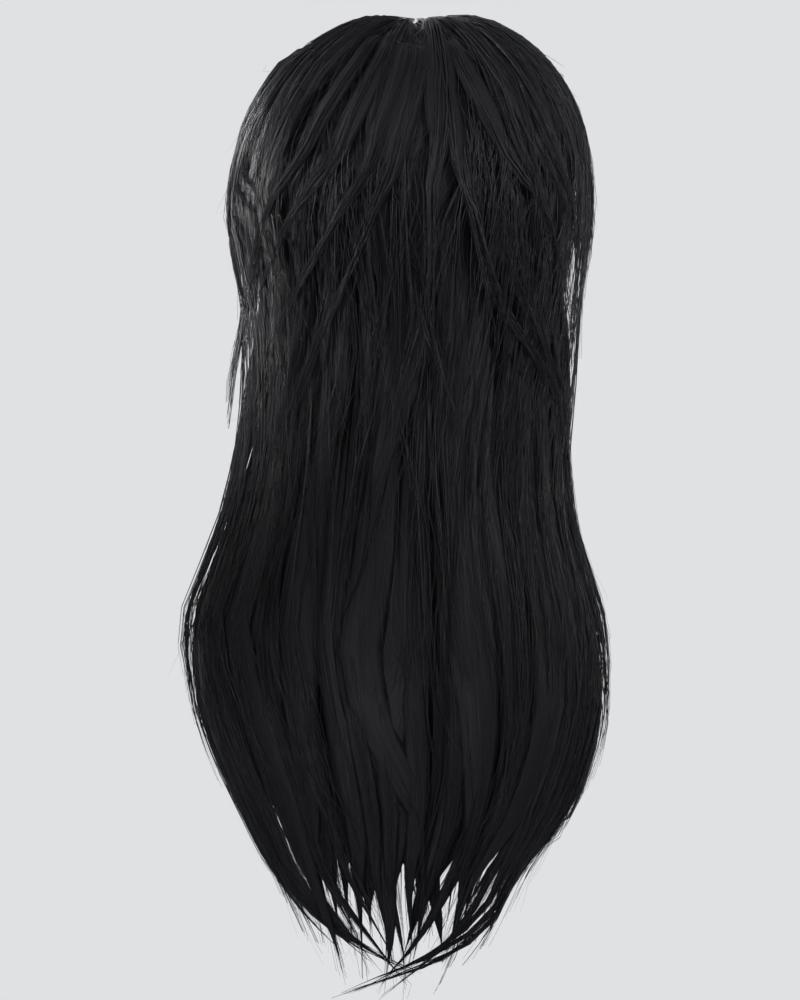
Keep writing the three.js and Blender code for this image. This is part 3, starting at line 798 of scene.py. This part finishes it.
WEFTS = {
    "weft_nape": {
        "turns": (-0.62, 0.62), "root": 1.07, "tip": 1.96, "locks": 14, "ragged": 0.12, "side_lift": 0.2,
        "outer": (0.4, 0.9), "taper": 0.82, "sweep": 0.04, "steps": 17, "tresses": 5, "frizz": 0.003,
        "strand_steps": 11, "strands": 6, "strand_depth": -0.9, "shortest": 0.85,
    },
    "weft_low": {
        "turns": (-0.74, 0.74), "root": 0.92, "tip": 1.975, "locks": 18, "ragged": 0.09,
        "side_lift": 0.08, "outer": (0.4, 0.9), "taper": 0.84, "sweep": 0.05, "curl": 0.14,
        "wave": 0.03, "frizz": 0.003, "steps": 19, "tresses": 6, "strand_steps": 13, "strands": 5,
        "shortest": 0.85,
    },
    "weft_back": {
        "turns": (-0.93, 0.93), "root": 0.74, "tip": 1.985, "locks": 24, "ragged": 0.09,
        "side_lift": 0.07, "outer": (0.25, 1.0), "taper": 0.82, "sweep": 0.045, "curl": 0.18,
        "wave": 0.03, "frizz": 0.003, "steps": 21, "tresses": 7, "strand_steps": 14, "strands": 7,
        "shortest": 0.85,
    },
    "weft_middle": {
        "turns": (-0.87, 0.87), "root": 0.52, "tip": 1.66, "locks": 22, "ragged": 0.30, "side_lift": 0.10,
        "outer": (0.4, 1.05), "taper": 0.55, "sweep": 0.06, "wave": 0.03, "curl": 0.06, "steps": 16,
        "tresses": 7, "strand_steps": 12, "strands": 7,
    },
    "weft_upper": {
        "turns": (-0.93, 0.93), "root": 0.29, "tip": 1.34, "locks": 22, "ragged": 0.16, "side_lift": 0.16,
        "outer": (0.3, 1.1), "fan": 0.05, "sweep": 0.05, "wave": 0.03, "curl": 0.05, "steps": 15,
        "tresses": 7, "strand_steps": 11, "strands": 7,
    },
}
TOP = {
    "crown_hair": {
        "turns": (-0.5, 0.5), "locks": 19, "ragged": 0.17, "tip": 1.20, "fan": 0.18, "sweep": 0.05,
        "curl": 0.06,
    },
    "side_hair_left": {"turns": (0.5, 0.875), "locks": 7, "ragged": 0.10, "tip": 1.17},
    "side_hair_right": {"turns": (-0.875, -0.5), "locks": 7, "ragged": 0.08, "tip": 1.14},
    "front_hair_left": {"turns": (0.875, 1.0), "locks": 3, "ragged": 0.06, "tip": 1.16},
    "front_hair_right": {"turns": (-1.0, -0.875), "locks": 3, "ragged": 0.06, "tip": 1.15},
}
ALL_TOP = {
    "root": 0.0, "outer": (0.3, 1.0), "steps": 19, "tresses": 8, "strand_steps": 12, "strands": 8,
    "taper": 0.5,
}
for order, (node, spec) in enumerate(WEFTS.items()):
    grow_node(node, LAYER_NAMES.index(node), spec, 100 + order)
for order, (node, spec) in enumerate(TOP.items()):
    grow_node(node, len(LAYER_NAMES) - 1, {**ALL_TOP, **spec}, 200 + order)

# %% [markdown]
# ## The net cap
# Under the hair is a cap of stretch net, with rows of weft sewn round it about 12 mm apart and
# a soft binding along its lower edge. It could be a sphere cut in half, but the real edge is
# low at the nape and high over the ears, so its columns run from the crown to that edge. The
# rows and the binding are thin lens-shaped bands laid on the inside of the net.

# %% Cap surface
LACE_REACH, LACE_MARGIN, LACE_RISE, EAR_TAB, TAB_NARROWING = 0.034, 0.009, 0.0008, 0.038, 0.3
JOIN_TURN = 1 - LACE_REACH * (1 - CROWN_TURN) / (HALF_DEPTH * (PARTING_BACK - PARTING_FRONT))
CAP_EDGE = {"angle": [0, 25, 48, 66, 80, 92, 110], "down": [0.148, 0.146, 0.122, 0.082, 0.026, 0.01, 0]}
DOME_SHARE, NET_WALL, BACK_COLUMNS, LACE_COLUMNS, RINGS = 0.78, 0.0005, 36, 18, 24


def cap_columns():
    """Rim, reach and drop of the cap's columns, from the left join round the back to the right."""
    angle = np.linspace(0, JOIN_TURN * HAIRLINE_TURN, BACK_COLUMNS, endpoint=False)
    rim_x, rim_y = rim_point(angle)
    edge_x, edge_y = dome_plan(np.full(LACE_COLUMNS, JOIN_TURN), np.linspace(1, 0, LACE_COLUMNS))
    edge_x[-1] = 0
    reach = (np.abs(edge_x) ** ROUNDNESS + np.abs(edge_y) ** ROUNDNESS) ** (1 / ROUNDNESS)
    x = np.concatenate([rim_x, edge_x / reach])
    y = np.concatenate([rim_y, edge_y / reach])
    reach = np.concatenate([np.ones(BACK_COLUMNS), reach])
    below = through_points(CAP_EDGE["angle"], CAP_EDGE["down"], angle)
    down = np.concatenate([below, np.zeros(LACE_COLUMNS)])
    mirror = np.array([-1, 1, 1, 1])[:, None]
    half = np.stack([x, y, reach, down])
    return np.concatenate([half, (half * mirror)[:, -2:0:-1]], 1)


def cap_point(columns, share, grow):
    """Points of the cap at shares of each column: over the dome first, then below the rim."""
    x, y, reach, down = (row[:, None] for row in columns)
    dome_share = np.where(down > 0, DOME_SHARE, 1)
    out = reach * np.sin(np.minimum(1, share / dome_share) * math.pi / 2)
    below = np.where(down > 0, down * np.maximum(0, share - DOME_SHARE) / (1 - DOME_SHARE), 0)
    return head_point(x * out, y * out, dome_height(x * out, y * out), below, fall_row(below), grow)


def closed_shell(name, outer, inner, crown_outer, crown_inner):
    """A dome from rings of points with one crown point, closed along its edge."""
    columns, rings = outer.shape[:2]
    index = np.arange(columns * rings).reshape(columns, rings) + 1
    shift = columns * rings + 1
    after = np.roll(index, -1, axis=0)
    skin = np.stack([index[:, :-1], after[:, :-1], after[:, 1:], index[:, 1:]], -1)
    skin = skin.reshape(-1, 4)[:, ::-1]
    edge = np.stack([index[:, -1], index[:, -1] + shift, after[:, -1] + shift, after[:, -1]], -1)
    top = np.stack([np.zeros(columns, int), index[:, 0], after[:, 0]], -1)
    skins = [crown_outer[None], outer.reshape(-1, 3), crown_inner[None], inner.reshape(-1, 3)]
    faces = [skin, skin[:, ::-1] + shift, edge[:, ::-1], top, top[:, ::-1] + shift]
    return new_mesh(name, np.concatenate(skins), faces)


def net_material():
    """Stretch net: a fine diamond weave, as bumps, since its holes are under half a millimetre."""
    material, tree = new_material("Black stretch net")
    place = add_node(tree, "ShaderNodeTexCoord").outputs["Object"]
    turned = add_node(tree, "ShaderNodeMapping", {"Vector": place, "Rotation": (0, 0.785, 0.6)})
    weave = {"Vector": turned.outputs[0], "Scale": 620.0, "Randomness": 0.15}
    cells = add_node(tree, "ShaderNodeTexVoronoi", weave, distance="CHEBYCHEV").outputs["Distance"]
    colour = tone_ramp(tree, cells, ["050506", "0b0b0c", "1b1b1d"])
    inputs = {"Base Color": colour, "Roughness": 0.85, "Specular IOR Level": 0.15}
    finish_material(tree, inputs, cells, 0.7, 0.0004)
    return material


def plain_fabric(name, code, weave_scale):
    material, tree = new_material(name)
    place = add_node(tree, "ShaderNodeTexCoord").outputs["Object"]
    detail = {"Vector": place, "Scale": weave_scale, "Detail": 2.0}
    weave = add_node(tree, "ShaderNodeTexNoise", detail).outputs["Fac"]
    inputs = {"Base Color": linear(code), "Roughness": 0.8, "Specular IOR Level": 0.2}
    finish_material(tree, inputs, weave, 0.5, 0.0003)
    return material


columns = cap_columns()
rings = np.linspace(0, 1, RINGS + 1)[None, 1:]
crown = np.array([0, 0, 1.0])
cap = closed_shell(
    "cap_net", cap_point(columns, rings, CAP_WALL), cap_point(columns, rings, CAP_WALL - NET_WALL),
    crown * CAP_WALL, crown * (CAP_WALL - NET_WALL),
)
cap.data.materials.append(net_material())
finish_piece(cap, "cap")

# %% Weft rows and binding
def band(path, normal, width, thickness):
    """Centre, half-width and half-thickness vectors of a band that lies flat on a surface."""
    way = unit(np.gradient(path, axis=1))
    across = unit(np.cross(normal, way))
    return path, across * width / 2, unit(normal) * thickness / 2


def band_piece(name, bands, sides, material):
    thing = new_mesh(name, *join_bodies([lens_bodies(*each, sides) for each in bands]))
    thing.data.materials.append(material)
    finish_piece(thing, "cap")


WEFT_ROWS, ROW_STEPS, ROW_WIDTH, ROW_THICKNESS = 12, 64, 0.0035, 0.0009
BINDING_WIDTH, BINDING_THICKNESS, SEAM_STEPS = 0.007, 0.0014, 40
back_angle = np.linspace(-JOIN_TURN * HAIRLINE_TURN, JOIN_TURN * HAIRLINE_TURN, ROW_STEPS)
back_x, back_y = rim_point(back_angle)
back_down = through_points(CAP_EDGE["angle"], CAP_EDGE["down"], np.abs(back_angle))
back = np.stack([back_x, back_y, np.ones(ROW_STEPS), back_down])


def cap_row(share, grow):
    path = cap_point(back, np.full((ROW_STEPS, 1), share), grow)[:, 0][None]
    outside = cap_point(back, np.full((ROW_STEPS, 1), share), grow + 0.001)[:, 0][None]
    return path, outside - path


heights = np.linspace(0.30, 0.94, WEFT_ROWS)
rows = [band(*cap_row(share, 0.0004), ROW_WIDTH, ROW_THICKNESS) for share in heights]
band_piece("cap_weft_rows", rows, 6, plain_fabric("Black weft tape", "121214", 900.0))
seam_turn = np.repeat([-JOIN_TURN, JOIN_TURN], SEAM_STEPS)
seam_fall = np.concatenate([np.linspace(1, 0.01, SEAM_STEPS), np.linspace(0.01, 1, SEAM_STEPS)])
x, y, up, down, row, _ = flow_shape(seam_turn, seam_fall)
seam = head_point(x, y, up, down, row, 0.0004)[None]
seam_out = head_point(x, y, up, down, row, 0.0014)[None] - seam
edging = [
    band(*cap_row(0.985, 0.0006), BINDING_WIDTH, BINDING_THICKNESS),
    band(seam, seam_out, BINDING_WIDTH * 0.6, BINDING_THICKNESS),
]
band_piece("cap_binding", edging, 8, plain_fabric("Black soft binding", "0f0f11", 1400.0))

# %% [markdown]
# ## The lace
# The strip at the face is sheer lace, so fine that skin shows through it. A transparent sheet
# would do in a game, but here it is a real net: diagonal threads cross on the head's surface,
# and Geometry Nodes gives every edge a thin round section.

# %% Net tree and lace
def net_tree():
    tree, given = new_tree("Threads on edges", {"Radius": "Float", "Material": "Material"})
    threads = add_node(tree, "GeometryNodeMeshToCurve", {"Mesh": given["Geometry"]}).outputs[0]
    section = add_node(tree, "GeometryNodeCurvePrimitiveCircle", {"Resolution": 3}).outputs[0]
    sweep = {"Curve": threads, "Profile Curve": section, "Scale": given["Radius"], "Fill Caps": True}
    end_tree(tree, add_node(tree, "GeometryNodeCurveToMesh", sweep).outputs[0], given["Material"])
    return tree


def lace_surface(length, across):
    """Points of the lace: length -1 to 1 from ear tab to ear tab, across 0 to 1 from cap to face."""
    tab_down = EAR_TAB / HAIR_DROP
    fall = np.abs(length) * (1 + tab_down)
    step = 0.005
    near, far = (hair_point(np.array(1 + way), np.array(0.02), np.array(0.0)) for way in (-step, step))
    stretch = far - near
    margin = LACE_MARGIN * 2 * step / np.linalg.norm(stretch)
    narrowing = TAB_NARROWING * np.clip((fall - 1) / tab_down, 0, 1) ** 2
    wide = mix(JOIN_TURN, 1 + margin, across)
    turn = mix(wide, (JOIN_TURN + 1 + margin) / 2, narrowing)
    x, y, up, down, row, _ = flow_shape(turn, fall)
    side = np.where(length < 0, -1, 1) * smooth(0, 0.02, np.abs(length))
    x = np.abs(x) * side
    up = np.where(fall < 1, dome_height(x, y), up)
    return head_point(x, y, up, down, row, LACE_RISE)


CELLS_ALONG, CELLS_ACROSS, THREAD_RADIUS = 276, 22, 0.00013
along, over = np.meshgrid(np.arange(CELLS_ALONG + 1), np.arange(CELLS_ACROSS + 1), indexing="ij")
points = lace_surface(along / CELLS_ALONG * 2 - 1, over / CELLS_ACROSS)
index = along * (CELLS_ACROSS + 1) + over
even = (along + over) % 2 == 0
forward = np.stack([index[:-1, :-1], index[1:, 1:]], -1)[even[:-1, :-1]]
backward = np.stack([index[1:, :-1], index[:-1, 1:]], -1)[even[1:, :-1]]
rims = np.concatenate([np.stack([index[:-1, side], index[1:, side]], -1) for side in (0, CELLS_ACROSS)])
used, edges = np.unique(np.concatenate([forward, backward, rims]), return_inverse=True)
lace = edge_mesh("lace_net", points.reshape(-1, 3)[used], edges)
lace_finish = plain_fabric("Sheer light brown lace thread", "b59a80", 2000.0)
run_tree(lace, net_tree(), Radius=THREAD_RADIUS, Material=lace_finish)
finish_piece(lace, "lace_front")

# %% [markdown]
# ## Loose strands and flyaways
# On a worn or brushed wig some strands leave their lock. Many lie across their neighbours,
# and a few stand off the outline, where they show against the light. They are traced by the
# same function, with far more sweep, and the flyaways are lifted off the surface.

# %% Loose strands
def loose_strands(name, count, seed, sweep, lift, radius, length, top=0.0):
    rng = np.random.default_rng(seed)
    root = rng.uniform(top, 1.7, count)
    batch = lock_batch(
        count, turn=rng.uniform(-0.82, 0.82, count), root=root,
        tip=np.minimum(root + rng.uniform(*length, count), 1.95), half=0.01, inner=1.0,
        outer=1.0, sweep=rng.normal(0, sweep, count), wave=rng.uniform(0.005, 0.03, count),
        phase=rng.uniform(0, 6, count), curl=rng.normal(0, sweep, count),
        lift=rng.uniform(*lift, count), taper=0.6,
    )
    centre, side, outward, _ = trace(len(LAYER_NAMES) - 1, batch, 12)
    guides = guide_object(name, centre, side, outward * 0.0010)
    run_tree(
        guides, strands, Strands=2, Radius=radius, Shortest=0.6, Frizz=0.009, Spread=2.0, Seed=seed,
        Material=strand_finish,
    )
    finish_piece(guides)


loose_strands("loose_strands", 380, 300, 0.09, (0.0, 0.002), 0.00030, (0.3, 0.7))
loose_strands("flyaways", 200, 301, 0.18, (0.0, 0.015), 0.00013, (0.2, 0.6), top=0.1)

# %% [markdown]
# ## Stage, light and camera
# The picture was taken square to the back of the hair, from about the height of its middle.
# A pale room gives even light. A narrow soft light on each side, a broad one from behind and a
# weak low one draw the faint sheen along dark hair, and one more lights the face side.

# %% Stage and camera
floor_material, floor_tree = new_material("Pale matt paper")
paper = {"Base Color": linear("d9dbdd"), "Roughness": 0.9, "Specular IOR Level": 0.2}
finish_material(floor_tree, paper)
FLOOR_DROP, FLOOR_RADIUS = 0.26, 1.4
angle = np.arange(64) / 64 * 2 * math.pi
level = np.full(64, cad_low.z - FLOOR_DROP)
rim = np.stack([FLOOR_RADIUS * np.cos(angle), FLOOR_RADIUS * np.sin(angle), level], -1)
floor = new_mesh("floor", rim, [np.arange(64)[None]])
floor.data.materials.append(floor_material)

world = bpy.data.worlds.new("Studio")
bpy.context.scene.world = world
world.use_nodes = True
background = world.node_tree.nodes["Background"].inputs
background["Color"].default_value, background["Strength"].default_value = linear("dfe1e3"), 1.0


def area_light(name, place, target, size, power, spread=180):
    light = bpy.data.lights.new(name, "AREA")
    light.shape, light.size, light.energy = "DISK", size, power
    light.spread = math.radians(spread)
    thing = link_object(name, light)
    thing.location = place
    way = np.array(target) - np.array(place)
    tilt = math.atan2(math.hypot(way[0], way[1]), -way[2])
    thing.rotation_euler = (tilt, 0, math.atan2(way[0], -way[1]) + math.pi)


# Place and target, then size in metres, power in watts and spread in degrees
area_light("key", (-1.5, 0.95, 0.3), (-0.20, 0, -0.16), 0.4, 1.25, 16)
area_light("fill", (1.6, 0.8, 0.25), (0.20, 0, -0.09), 0.3, 2.1, 12)
area_light("back_side", (0.3, 2.2, 0.1), (0, 0, -0.4), 1.4, 8.0)
area_light("low_side", (0.4, 1.8, -0.5), (0, 0, -0.60), 0.5, 0.3, 16)
area_light("face_side", (0.4, -1.8, 0.6), (0, 0, -0.25), 1.4, 14)

CAMERA_DISTANCE, FIELD_HEIGHT, SENSOR = 2.6, 0.70, 0.024
camera_data = bpy.data.cameras.new("camera")
camera_data.sensor_width = 1000 * SENSOR
camera_data.lens = 1000 * SENSOR * CAMERA_DISTANCE / FIELD_HEIGHT
camera = link_object("camera", camera_data)
camera.location = (0.0077, CAMERA_DISTANCE, -0.3276)
camera.rotation_euler = (math.pi / 2, 0, math.pi)
bpy.context.scene.camera = camera
bpy.context.scene.view_settings.view_transform = "Standard"
